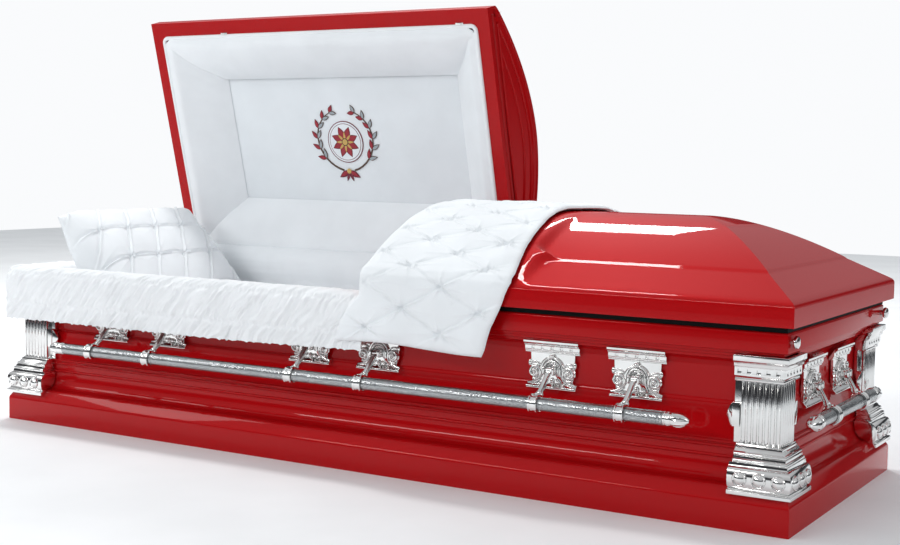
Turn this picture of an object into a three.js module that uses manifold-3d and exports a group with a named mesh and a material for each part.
// A half-couch steel funeral casket with its head lid open, built with three.js.
// Millimetres, +Z up, +X towards the foot end, the front faces -Y.
// The origin is the centre of the flat underside of the base.
import * as THREE from 'three';
import Module from 'manifold-3d';

const wasm = await Module();
wasm.setup();
const { Manifold, Mesh: ManifoldMesh } = wasm;

// Driving dimensions.
const HALF_L = 1050;          // half length of the base moulding
const HALF_W = 361;           // half width of the base moulding
const SHEET = 2.5;            // thickness of every steel panel
const GAP = 0.3;              // clearance between neighbouring pieces

const BASE_TOP = 58;          // top of the upright face of the base
const WALL_D = 53;            // how far the wall stands in from the base face
const RAIL_D = 18;            // how far the top rail stands in from the base face
const RAIL_BOTTOM = 343;
const RAIL_TOP = 383;

const LID_HALF_L = 1049;
const LID_HALF_W = 364;
const LID_BOTTOM = 395;
const RIM_TOP = 439;
const LID_RIDGE = 584;
const RIDGE_END = 729;        // where the ridge stops and the hipped end starts
const CUT_X = 77;             // the plane between the head lid and the foot lid
const CUT_GAP = 1;            // each lid stops this far from that plane
const FLANGE = 40;            // width of the flat flange under each lid
const BAND_END = 378;         // half length of the raised band around the cut
const HINGE_Y = 343;
const HINGE_Z = 387;
const OPEN_DEG = 75.35;       // how far the head lid is open

const BAR_R = 14;
const BAR_Y = 390;            // front and back bars, from the centre plane
const BAR_Z = 206;
const PIVOT_Y = 329;
const PIVOT_Z = 266;
const END_BAR_X = 1050;       // head and foot bars
const END_BAR_Z = 196;
const END_PIVOT_X = 1018;
const END_PIVOT_Z = 253;
const SIDE_LUGS = [-718, -528, -95, 95, 528, 718];
const END_LUGS = [-101, 101];
const SIDE_BAR_HALF = 860;
const END_BAR_HALF = 244;

// Materials.
const colours = {
  paint: [0xa8101a, 0.9, 0.25],
  chrome: [0xdfe2e6, 1.0, 0.08],
  hammered: [0x9aa0a6, 1.0, 0.35],
  cloth: [0xf3f5f7, 0.0, 0.9],
  rubber: [0x0a0a0b, 0.0, 0.6],
};
function material(name) {
  const [color, metalness, roughness] = colours[name];
  return new THREE.MeshStandardMaterial({ color, metalness, roughness });
}

// Geometry helpers.
// A closed solid from a polygon carried through a row of stations. Each
// station turns a polygon point [a, b] into a point [x, y, z].
function sweep(polygon, stations) {
  const n = polygon.length;
  const points = [];
  for (const station of stations) {
    for (const p of polygon) points.push(station(p));
  }
  const faces = [];
  for (let s = 0; s < stations.length - 1; s += 1) {
    for (let i = 0; i < n; i += 1) {
      const j = (i + 1) % n;
      const a = s * n + i;
      const b = s * n + j;
      const c = a + n;
      const d = b + n;
      faces.push([a, b, d], [a, d, c]);
    }
  }
  const contour = polygon.map((p) => new THREE.Vector2(p[0], p[1]));
  const caps = THREE.ShapeUtils.triangulateShape(contour, []);
  const last = (stations.length - 1) * n;
  const clockwise = THREE.ShapeUtils.isClockWise(contour);
  for (const [a, b, c] of caps) {
    if (clockwise) {
      faces.push([a, b, c], [last + a, last + c, last + b]);
    } else {
      faces.push([a, c, b], [last + a, last + b, last + c]);
    }
  }
  return solidFrom(points, faces);
}

// Builds a geometry from points and triangles and makes it face outwards.
function solidFrom(points, faces) {
  let volume = 0;
  for (const [a, b, c] of faces) {
    const p = new THREE.Vector3(...points[a]);
    const q = new THREE.Vector3(...points[b]);
    const r = new THREE.Vector3(...points[c]);
    volume += p.dot(q.cross(r)) / 6;
  }
  const index = [];
  for (const [a, b, c] of faces) {
    if (volume > 0) index.push(a, b, c);
    else index.push(a, c, b);
  }
  const geometry = new THREE.BufferGeometry();
  geometry.setAttribute('position', new THREE.Float32BufferAttribute(points.flat(), 3));
  geometry.setIndex(index);
  return geometry;
}

// Geometry to manifold and back, for joins and cuts only.
function toManifold(geometry) {
  const position = geometry.getAttribute('position');
  const keys = new Map();
  const verts = [];
  const remap = [];
  for (let i = 0; i < position.count; i += 1) {
    const p = [position.getX(i), position.getY(i), position.getZ(i)];
    const key = p.map((v) => Math.round(v * 1e4)).join(',');
    if (!keys.has(key)) {
      keys.set(key, verts.length / 3);
      verts.push(...p);
    }
    remap.push(keys.get(key));
  }
  const source = geometry.index ? Array.from(geometry.index.array) : remap.map((_, i) => i);
  const tris = [];
  for (let i = 0; i < source.length; i += 3) {
    const t = [remap[source[i]], remap[source[i + 1]], remap[source[i + 2]]];
    if (t[0] !== t[1] && t[1] !== t[2] && t[2] !== t[0]) tris.push(...t);
  }
  return new Manifold(new ManifoldMesh({
    numProp: 3,
    vertProperties: new Float32Array(verts),
    triVerts: new Uint32Array(tris),
  }));
}
function fromManifold(solid) {
  const mesh = solid.getMesh();
  const geometry = new THREE.BufferGeometry();
  const points = [];
  for (let i = 0; i < mesh.vertProperties.length; i += mesh.numProp) {
    points.push(mesh.vertProperties[i], mesh.vertProperties[i + 1], mesh.vertProperties[i + 2]);
  }
  geometry.setAttribute('position', new THREE.Float32BufferAttribute(points, 3));
  geometry.setIndex(Array.from(mesh.triVerts));
  return geometry;
}
function join(...parts) {
  return fromManifold(parts.map(toManifold).reduce((a, b) => a.add(b)));
}
function cut(base, ...tools) {
  return fromManifold(tools.map(toManifold).reduce((a, b) => a.subtract(b), toManifold(base)));
}
function box(x0, x1, y0, y1, z0, z1) {
  const geometry = new THREE.BoxGeometry(x1 - x0, y1 - y0, z1 - z0);
  geometry.translate((x0 + x1) / 2, (y0 + y1) / 2, (z0 + z1) / 2);
  return geometry;
}
// A cylinder along an axis, standing on the point given and growing by length.
function rod(axis, radius, length, at, segments = 12) {
  const geometry = new THREE.CylinderGeometry(radius, radius, length, segments);
  geometry.translate(0, length / 2, 0);
  if (axis === 'x') geometry.rotateZ(-Math.PI / 2);
  if (axis === 'z') geometry.rotateX(Math.PI / 2);
  if (axis === '-y') geometry.rotateX(Math.PI);
  geometry.translate(...at);
  return geometry;
}
// The four sides of the casket are made for the front or the foot end and
// turned or mirrored to the others.
function turned(geometry, degrees) {
  return geometry.clone().rotateZ((degrees * Math.PI) / 180);
}
function mirrored(geometry, axis) {
  const copy = geometry.clone();
  copy.scale(axis === 'x' ? -1 : 1, axis === 'y' ? -1 : 1, 1);
  const index = Array.from(copy.index.array);
  for (let i = 0; i < index.length; i += 3) {
    [index[i + 1], index[i + 2]] = [index[i + 2], index[i + 1]];
  }
  copy.setIndex(index);
  return copy;
}

const casket = new THREE.Group();
casket.name = 'casket';
function add(name, geometry, finish) {
  const plain = geometry.index ? geometry.toNonIndexed() : geometry.clone();
  plain.deleteAttribute('uv');
  plain.computeVertexNormals();
  const mesh = new THREE.Mesh(plain, material(finish));
  mesh.name = name;
  casket.add(mesh);
  return mesh;
}

// Body: four profiled walls and the bottom pan.
// [distance in from the base face, height]: plinth, sloped ledge, cove, three
// reeds, wall with its crease, stepped mouldings and the top rail.
const wallOutside = [
  [0, 0], [0, 53], [1.5, 56.5], [5, BASE_TOP], [13, 76], [15.5, 80], [19, 83], [25, 84.5],
  [36, 90], [44, 99], [48.5, 112], [50, 127],
  [46.5, 129], [46, 133], [49.5, 136.5], [50.5, 147],
  [47, 149], [47, 153], [50, 155], [47.5, 157], [47.5, 161], [51, 164],
  [WALL_D - 0.5, 236], [WALL_D, 240], [WALL_D, 307], [47, 317], [41, 323],
  [38, 323], [38, 330], [32, 330], [32, 337], [25, 337], [25, RAIL_BOTTOM],
  [RAIL_D + 1.5, RAIL_BOTTOM], [RAIL_D, RAIL_BOTTOM + 1.5], [RAIL_D, RAIL_TOP - 2],
  [RAIL_D + 2, RAIL_TOP], [58, RAIL_TOP],
];
const wallInside = [
  [58, 372], [55.5, 372], [55.5, RAIL_TOP - SHEET], [RAIL_D + SHEET, RAIL_TOP - SHEET],
  [RAIL_D + SHEET, 347], [42, 347], [44, 328], [WALL_D + SHEET, 309],
  [WALL_D + SHEET, 238], [53.5, 164], [53.5, 126], [51, 111], [46, 97], [37, 87.5],
  [25, 81.5], [20, 80.5], [15, 75], [7, 56], [3, 53], [SHEET, 51], [SHEET, 0],
];
const wallProfile = wallOutside.concat(wallInside);
const MITRE = 0.2;
const frontWall = sweep(wallProfile, [
  ([d, z]) => [-(HALF_L - d - MITRE), -(HALF_W - d), z],
  ([d, z]) => [HALF_L - d - MITRE, -(HALF_W - d), z],
]);
const footWall = sweep(wallProfile, [
  ([d, z]) => [HALF_L - d, -(HALF_W - d - MITRE), z],
  ([d, z]) => [HALF_L - d, HALF_W - d - MITRE, z],
]);
add('body_front', frontWall, 'paint');
add('body_back', turned(frontWall, 180), 'paint');
add('body_foot', footWall, 'paint');
add('body_head', turned(footWall, 180), 'paint');
const PAN_D = SHEET + GAP;
add('bottom_pan', box(-HALF_L + PAN_D, HALF_L - PAN_D, -HALF_W + PAN_D, HALF_W - PAN_D, 0, 3), 'paint');

// Gasket on the top rail.
function ring(outerX, outerY, width, z0, z1) {
  return cut(
    box(-outerX, outerX, -outerY, outerY, z0, z1),
    box(-outerX + width, outerX - width, -outerY + width, outerY - width, z0 - 1, z1 + 1),
  );
}
add('gasket', ring(HALF_L - 20, HALF_W - 20, 10, RAIL_TOP + GAP, LID_BOTTOM - 0.6), 'rubber');

// Corner columns.
// One corner at +X, -Y. A profile of [distance in from the base faces, height]
// runs along both faces and is mitred at the corner.
const corner = (leg) => [
  ([e, z]) => [HALF_L - leg, -(HALF_W - e), z],
  ([e, z]) => [HALF_L - e, -(HALF_W - e), z],
  ([e, z]) => [HALF_L - e, -(HALF_W - leg), z],
];
const cushion = sweep([
  [-3, 71], [-3, 79], [1, 82], [-1.5, 92], [-2.5, 103], [0, 114], [6, 124], [9, 127], [9, 131],
  [45.5, 131], [45.5, 128], [47.5, 126], [47.8, 114], [43.3, 99.5], [35.5, 90.6], [24.7, 85],
  [18.5, 83.4], [15, 80.6], [12.5, 76.7], [10, 71],
], corner(123));
const steps = sweep([
  [9, 130.5], [9, 136], [14, 138], [14, 143], [19, 145], [21, 150], [24, 156], [24, 160], [28, 163.5],
  [46, 163.5], [46, 138], [45.5, 137], [45.5, 130.5],
], corner(117));
const capital = sweep([
  [29, 284.5], [26, 287], [26, 292], [22, 296], [22, 312], [18, 314], [18, 320], [14, 325], [13, 326],
  [13, 336.6], [24.6, 336.6], [31.6, 336.6], [31.6, 329.6], [37.6, 329.6], [37.6, 322.6], [40.6, 322.4],
  [46.5, 316.6], [52.4, 307], [52.4, 284.5],
], corner(122));
// The fluted shaft is a plan outline run upwards.
const SHAFT_IN = 30;
const SHAFT_LEG = 110;
const FLUTES = 5;
function shaftPlan() {
  const pitch = (SHAFT_LEG - SHAFT_IN) / FLUTES;
  const front = [];
  for (let i = 0; i < FLUTES; i += 1) {
    const s = SHAFT_IN + i * pitch;
    front.push([s + 2, SHAFT_IN], [s + pitch / 2, SHAFT_IN + 3], [s + pitch - 2, SHAFT_IN]);
  }
  const outline = [];
  for (const [along, inward] of front.slice().reverse()) outline.push([HALF_L - along, -(HALF_W - inward)]);
  for (const [along, inward] of front) outline.push([HALF_L - inward, -(HALF_W - along)]);
  outline.push([HALF_L - SHAFT_IN, -(HALF_W - SHAFT_LEG)]);
  outline.push([HALF_L - 47, -(HALF_W - SHAFT_LEG)]);
  outline.push([HALF_L - 47, -(HALF_W - 47)]);
  outline.push([HALF_L - SHAFT_LEG, -(HALF_W - 47)]);
  outline.push([HALF_L - SHAFT_LEG, -(HALF_W - SHAFT_IN)]);
  return outline;
}
const shaft = sweep(shaftPlan(), [([x, y]) => [x, y, 162], ([x, y]) => [x, y, 286]]);
// A plain backing leg lies against the wall beside the shaft.
const backing = sweep([[43, 163], [43, 286], [52.4, 286], [52.4, 240.5], [50.2, 164.8], [47, 161.6], [46.6, 163]], corner(121));
const columnParts = [steps, shaft, backing, capital];
for (const s of [22, 60, 98]) {
  columnParts.push(rod('-y', 13, 8, [HALF_L - s, -(HALF_W - 3), 102], 6));
  columnParts.push(rod('x', 13, 8, [HALF_L - 3, -(HALF_W - s), 102], 6));
}
// A pointed stud on each side face of the shaft.
const studFront = new THREE.ConeGeometry(13, 15, 4).rotateZ(Math.PI / 2)
  .scale(1, 1, 1.65).translate(HALF_L - SHAFT_LEG - 7, -(HALF_W - 37), 218);
const studSide = new THREE.ConeGeometry(13, 15, 4)
  .scale(1, 1, 1.65).translate(HALF_L - 37, -(HALF_W - SHAFT_LEG - 7), 218);
const column = join(cushion, ...columnParts, studFront, studSide);
add('column_front_foot', column, 'chrome');
add('column_front_head', mirrored(column, 'x'), 'chrome');
add('column_back_foot', mirrored(column, 'y'), 'chrome');
add('column_back_head', turned(column, 180), 'chrome');

// Lugs and swing arms.
// Made at the front for a lug at X = 0 with its wall at the plane y = 0 (the
// lug grows towards -Y) and its pivot at z = 0; then placed.
function lugSolid(slope) {
  const plate = new THREE.ExtrudeGeometry(new THREE.Shape([
    [-52, -40], [52, -40], [52, 40], [-52, 40],
  ].map((p) => new THREE.Vector2(...p))), { depth: 7, bevelEnabled: false });
  plate.rotateX(Math.PI / 2);
  const cornice = sweep([[0, 34], [10, 34], [10, 42], [15, 47], [20, 53], [20, 60], [15.5, 60], [15.5, 56], [12, 56], [0, 39]], [
    ([p, z]) => [-63, -p, z], ([p, z]) => [63, -p, z],
  ]);
  const slab = sweep([[0, -40], [16, -40], [16, -34], [9, -27], [0, -27]], [
    ([p, z]) => [-57.5, -p, z], ([p, z]) => [57.5, -p, z],
  ]);
  const scrolls = [-40, 40].map((x) => rod('-y', 16, 14, [x, 0, -8], 6));
  const earLeft = box(-13, -8.5, -30, -1, -9, 9);
  const earRight = box(8.5, 13, -30, -1, -9, 9);
  const pin = rod('x', 3, 22, [-11, -slope, 0], 5);
  return join(plate, cornice, slab, ...scrolls, earLeft, earRight, pin);
}
// The arm's side view: an eye around the pin and a collar around the bar.
function armSolid(outward, drop) {
  const length = Math.hypot(outward, drop);
  const shape = new THREE.Shape();
  const collar = BAR_R + 4;
  const eye = 6.5;
  const half = 4.5;
  const start = Math.asin(half / eye);
  const stop = Math.asin(half / collar);
  const around = 5;
  for (let i = 0; i <= around; i += 1) {
    const a = start + ((2 * Math.PI - 2 * start) * i) / around;
    shape[i === 0 ? 'moveTo' : 'lineTo'](eye * Math.cos(a), eye * Math.sin(a));
  }
  for (let i = 0; i <= 8; i += 1) {
    const a = Math.PI + stop + ((2 * Math.PI - 2 * stop) * i) / 8;
    shape.lineTo(length + collar * Math.cos(a), collar * Math.sin(a));
  }
  shape.closePath();
  const pinHole = new THREE.Path();
  const barHole = new THREE.Path();
  for (let i = 0; i < 5; i += 1) {
    const a = (-2 * Math.PI * i) / 5;
    pinHole[i === 0 ? 'moveTo' : 'lineTo'](4 * Math.cos(a), 4 * Math.sin(a));
  }
  for (let i = 0; i < 9; i += 1) {
    const a = (-2 * Math.PI * i) / 9;
    barHole[i === 0 ? 'moveTo' : 'lineTo'](length + (BAR_R + 1) * Math.cos(a), (BAR_R + 1) * Math.sin(a));
  }
  pinHole.closePath();
  barHole.closePath();
  shape.holes.push(pinHole, barHole);
  const arm = new THREE.ExtrudeGeometry(shape, { depth: 15, bevelEnabled: false, curveSegments: 1 });
  arm.translate(0, 0, -7.5);
  // The extrusion axis goes to +X and the arm points outwards and down.
  const frame = new THREE.Matrix4().makeBasis(
    new THREE.Vector3(0, -outward / length, -drop / length),
    new THREE.Vector3(0, drop / length, -outward / length),
    new THREE.Vector3(1, 0, 0),
  );
  arm.applyMatrix4(frame);
  return arm;
}
const sideArm = armSolid(BAR_Y - PIVOT_Y, PIVOT_Z - BAR_Z);
const endArm = armSolid(END_BAR_X - END_PIVOT_X, END_PIVOT_Z - END_BAR_Z);
const lugWall = HALF_W - WALL_D + 1.3;      // the plane of the backs of the lugs
const endLugWall = HALF_L - WALL_D + 1.3;
const lugShape = lugSolid(PIVOT_Y - lugWall);
SIDE_LUGS.forEach((x, i) => {
  const lug = lugShape.clone().translate(x, -lugWall, PIVOT_Z);
  const arm = sideArm.clone().translate(x, -PIVOT_Y, PIVOT_Z);
  add(`lug_front_${i + 1}`, lug, 'chrome');
  add(`lug_back_${i + 1}`, turned(lug, 180), 'chrome');
  add(`arm_front_${i + 1}`, arm, 'chrome');
  add(`arm_back_${i + 1}`, turned(arm, 180), 'chrome');
});
END_LUGS.forEach((y, i) => {
  // A quarter turn takes the front (-Y) to the foot end (+X).
  const lug = turned(lugSolid(END_PIVOT_X - endLugWall).translate(y, -endLugWall, END_PIVOT_Z), 90);
  const arm = turned(endArm.clone().translate(y, -END_PIVOT_X, END_PIVOT_Z), 90);
  add(`lug_foot_${i + 1}`, lug, 'chrome');
  add(`lug_head_${i + 1}`, turned(lug, 180), 'chrome');
  add(`arm_foot_${i + 1}`, arm, 'chrome');
  add(`arm_head_${i + 1}`, turned(arm, 180), 'chrome');
});

// Swing bars.
// Turned round its own axis: a plain bar with a stepped ferrule and an acorn tip
// at each end.
function barSolid(half) {
  const side = [
    [0, half], [8, half - 4], [12.5, half - 12], [13.5, half - 24], [15.5, half - 27],
    [15.5, half - 36], [BAR_R, half - 40],
  ];
  const points = side.map(([r, h]) => [r, -h]).concat(side.slice().reverse());
  const lathe = new THREE.LatheGeometry(points.map(([r, h]) => new THREE.Vector2(r, h)), 9);
  return fromManifold(toManifold(lathe.rotateZ(Math.PI / 2)));
}
const sideBar = barSolid(SIDE_BAR_HALF).translate(0, -BAR_Y, BAR_Z);
const endBar = turned(barSolid(END_BAR_HALF).translate(0, -END_BAR_X, END_BAR_Z), 90);
add('bar_front', sideBar, 'hammered');
add('bar_back', turned(sideBar, 180), 'hammered');
add('bar_foot', endBar, 'hammered');
add('bar_head', turned(endBar, 180), 'hammered');

// Lids.
// Half profile of the stamped crown: [half width, height] from the rim up.
const crown = [
  [LID_HALF_W, LID_BOTTOM], [LID_HALF_W, RIM_TOP - 5], [LID_HALF_W - 1.5, RIM_TOP - 1], [LID_HALF_W - 6, RIM_TOP + 2],
  [270, 487], [262, 493], [220, 515], [190, 530], [150, 547], [104, 564.5], [62, 576], [28, 582], [0, LID_RIDGE - 1],
];
// The smooth arc of the raised band around the cut.
const arc = [
  [LID_HALF_W, LID_BOTTOM], [LID_HALF_W, RIM_TOP - 5], [LID_HALF_W - 2, RIM_TOP],
  [330, 463], [290, 490], [250, 512.5], [209, 533], [160, 552], [115, 566.5], [73, 576.5], [35, 582.3], [0, LID_RIDGE],
];
const HIP = (LID_HALF_L - RIDGE_END) / LID_HALF_W;
// A lid solid: rectangles stacked up the half profile. The far end is hipped
// (or upright), the near end is the flat cut.
function lidSolid(profile, farX, nearX, hip) {
  const dir = Math.sign(farX - nearX);
  const points = [];
  for (const [w, z] of profile) {
    const x = farX - dir * hip * (LID_HALF_W - w);
    points.push([x, -w, z], [x, w, z], [nearX, w, z], [nearX, -w, z]);
  }
  const faces = [];
  const quad = (a, b, c, d) => faces.push([a, b, c], [a, c, d]);
  const n = profile.length;
  for (let i = 0; i < n - 1; i += 1) {
    for (let k = 0; k < 4; k += 1) {
      const a = 4 * i + k;
      const b = 4 * i + ((k + 1) % 4);
      quad(a, b, b + 4, a + 4);
    }
  }
  quad(3, 2, 1, 0);
  const t = 4 * (n - 1);
  quad(t, t + 1, t + 2, t + 3);
  return fromManifold(toManifold(solidFrom(points, faces)));
}
// The same profile pulled in by the sheet thickness.
function inset(profile, by) {
  return profile.map(([w, z], i) => {
    if (i === 0) return [w - by, LID_BOTTOM + by];
    const before = profile[i - 1];
    const after = profile[Math.min(i + 1, profile.length - 1)];
    const length = Math.hypot(after[0] - before[0], after[1] - before[1]);
    const nx = (after[1] - before[1]) / length;
    const nz = -(after[0] - before[0]) / length;
    if (i === profile.length - 1) return [0, z - by];
    return [Math.max(w - by * nx, 0), z - by * nz];
  });
}
function lidShell(farX, nearX) {
  const dir = Math.sign(farX - nearX);
  const bandX = CUT_X + dir * BAND_END;
  const outer = join(lidSolid(crown, farX, nearX, HIP), lidSolid(arc, bandX, nearX, 0));
  const innerCrown = lidSolid(inset(crown, SHEET), farX - dir * SHEET * 1.6, nearX + dir * SHEET, HIP);
  const innerArc = lidSolid(inset(arc, SHEET), bandX - dir * SHEET, nearX + dir * SHEET, 0);
  const x0 = Math.min(farX - dir * FLANGE * 1.25, nearX + dir * FLANGE);
  const x1 = Math.max(farX - dir * FLANGE * 1.25, nearX + dir * FLANGE);
  const mouth = box(x0, x1, -(LID_HALF_W - FLANGE), LID_HALF_W - FLANGE, LID_BOTTOM - 5, LID_BOTTOM + 8);
  return cut(outer, innerCrown, innerArc, mouth);
}
// The white lining: a sloping frame from the mouth up to the centre panel.
function frustum(x0, x1, y0, y1, z0, X0, X1, Y0, Y1, z1) {
  const points = [
    [x0, y0, z0], [x1, y0, z0], [x1, y1, z0], [x0, y1, z0],
    [X0, Y0, z1], [X1, Y0, z1], [X1, Y1, z1], [X0, Y1, z1],
  ];
  const faces = [];
  const quad = (a, b, c, d) => faces.push([a, b, c], [a, c, d]);
  quad(0, 3, 2, 1);
  quad(4, 5, 6, 7);
  for (let k = 0; k < 4; k += 1) {
    const b = (k + 1) % 4;
    quad(k, b, b + 4, k + 4);
  }
  return solidFrom(points, faces);
}
const HEAD_X = -LID_HALF_L;
const LINING_IN = FLANGE + 0.5;
const PANEL_Z = 476;
const panel = { x0: -862, x1: -82, y0: -186, y1: 176 };
const head = { x0: HEAD_X + FLANGE * 1.25 + 0.5, x1: CUT_X - CUT_GAP - LINING_IN, y: LID_HALF_W - LINING_IN };
function headLining() {
  const outer = frustum(
    head.x0, head.x1, -head.y, head.y, LID_BOTTOM - 0.2,
    panel.x0 - 8, panel.x1 + 8, panel.y0 - 8, panel.y1 + 8, PANEL_Z + 8,
  );
  const inner = frustum(
    head.x0 + 8, head.x1 - 8, -head.y + 8, head.y - 8, LID_BOTTOM - 2,
    panel.x0, panel.x1, panel.y0, panel.y1, PANEL_Z + 8.5,
  );
  return cut(outer, inner);
}
const open = new THREE.Matrix4()
  .makeTranslation(0, HINGE_Y, HINGE_Z)
  .multiply(new THREE.Matrix4().makeRotationX((-OPEN_DEG * Math.PI) / 180))
  .multiply(new THREE.Matrix4().makeTranslation(0, -HINGE_Y, -HINGE_Z));
function opened(geometry) {
  return geometry.clone().applyMatrix4(open);
}
add('head_lid', opened(lidShell(HEAD_X, CUT_X - CUT_GAP)), 'paint');
add('head_lid_lining', opened(headLining()), 'cloth');
add('head_lid_panel', opened(box(panel.x0 + 0.4, panel.x1 - 0.4, panel.y0 + 0.4, panel.y1 - 0.4, PANEL_Z, PANEL_Z + 7)), 'cloth');
[-780, -9].forEach((x, i) => {
  const plate = box(x - 11, x + 11, -330.5, -322, LID_BOTTOM - 3.3, LID_BOTTOM - 0.3);
  const hook = box(x - 6, x + 6, -330, -326, LID_BOTTOM - 9, LID_BOTTOM - 3);
  add(`lid_catch_${i + 1}`, opened(join(plate, hook)), 'chrome');
});
add('foot_lid', lidShell(LID_HALF_L, CUT_X + CUT_GAP), 'paint');
const foot = { x0: CUT_X + CUT_GAP + LINING_IN, x1: LID_HALF_L - FLANGE * 1.25 - 0.5 };
add('foot_lid_lining', cut(
  frustum(foot.x0, foot.x1, -head.y, head.y, LID_BOTTOM - 0.2, foot.x0 + 60, 840, -186, 186, 484),
  frustum(foot.x0 + 8, foot.x1 - 8, -head.y + 8, head.y - 8, LID_BOTTOM - 2, foot.x0 + 68, 832, -178, 178, 476),
), 'cloth');

// Cloth interior.
const TUB_D = 60;
add('body_lining', cut(
  box(-HALF_L + TUB_D, HALF_L - TUB_D, -HALF_W + TUB_D, HALF_W - TUB_D, 3.3, 391),
  box(-HALF_L + TUB_D + 10, HALF_L - TUB_D - 10, -HALF_W + TUB_D + 10, HALF_W - TUB_D - 10, 12, 392),
), 'cloth');
add('mattress', box(-975, 975, -286, 286, 12.3, 250), 'cloth');

// The pillow leans on the head end: a slab with a lens-shaped section.
const PILLOW_AT = [-960, 0, 0];
const pillowSection = [
  [-975, 540], [-962, 546], [-930, 530], [-870, 492], [-800, 430], [-740, 362], [-690, 300], [-672, 262],
  [-690, 250.3], [-790, 262], [-880, 330], [-940, 420], [-968, 500],
];
add('pillow', sweep(pillowSection, [
  ([x, z]) => [x, -262, z], ([x, z]) => [x, 262, z],
]), 'cloth');

// The shirred overlay lies over the front rail and hangs down outside it, and
// turns the corner onto the head end.
const overlaySection = [
  [12, 268], [-9, 268], [-9, 330], [-6, 380], [2, 398], [16, 404], [44, 404], [56, 398], [59.4, 388],
  [41, 395], [20, 395], [17.4, 384], [17.4, 346], [12, 340],
];
const OVERLAY_END = 60;
const overlayHead = sweep(overlaySection, [
  ([d, z]) => [-(HALF_L - d), -40, z],
  ([d, z]) => [-(HALF_L - d), -(HALF_W - d), z],
  ([d, z]) => [OVERLAY_END, -(HALF_W - d), z],
]);
add('front_overlay', overlayHead, 'cloth');

// The tufted throw lies over the cut edge of the foot lid and hangs down in
// front of it.
const THROW_X0 = CUT_X + CUT_GAP;
const THROW_X1 = 428;
const THICK = 15;
const throwUnder = [[-(LID_HALF_W + 0.5), 292], [-(LID_HALF_W + 0.5), RIM_TOP + 0.5]];
for (const [w, z] of arc.slice(3)) throwUnder.push([-w, z + 0.6]);
for (const [w, z] of arc.slice(5, arc.length - 1).reverse()) throwUnder.push([w, z + 0.6]);
const throwOver = throwUnder.map(([y, z], i) => {
  const before = throwUnder[Math.max(i - 1, 0)];
  const after = throwUnder[Math.min(i + 1, throwUnder.length - 1)];
  const length = Math.hypot(after[0] - before[0], after[1] - before[1]);
  return [y - (THICK * (after[1] - before[1])) / length, z + (THICK * (after[0] - before[0])) / length];
});
add('foot_throw', sweep(throwUnder.concat(throwOver.reverse()), [
  ([y, z]) => [THROW_X0, y, z], ([y, z]) => [THROW_X1, y, z],
]), 'cloth');

// Two button fasteners on the foot end of the rail.
[-322, 322].forEach((y, i) => {
  const stem = rod('x', 6, 12, [HALF_L - RAIL_D + GAP, y, 365], 10);
  const button = rod('x', 12.5, 8, [HALF_L - RAIL_D + 8, y, 365], 14);
  add(`rail_knob_${i + 1}`, join(stem, button), 'chrome');
});

export default casket;
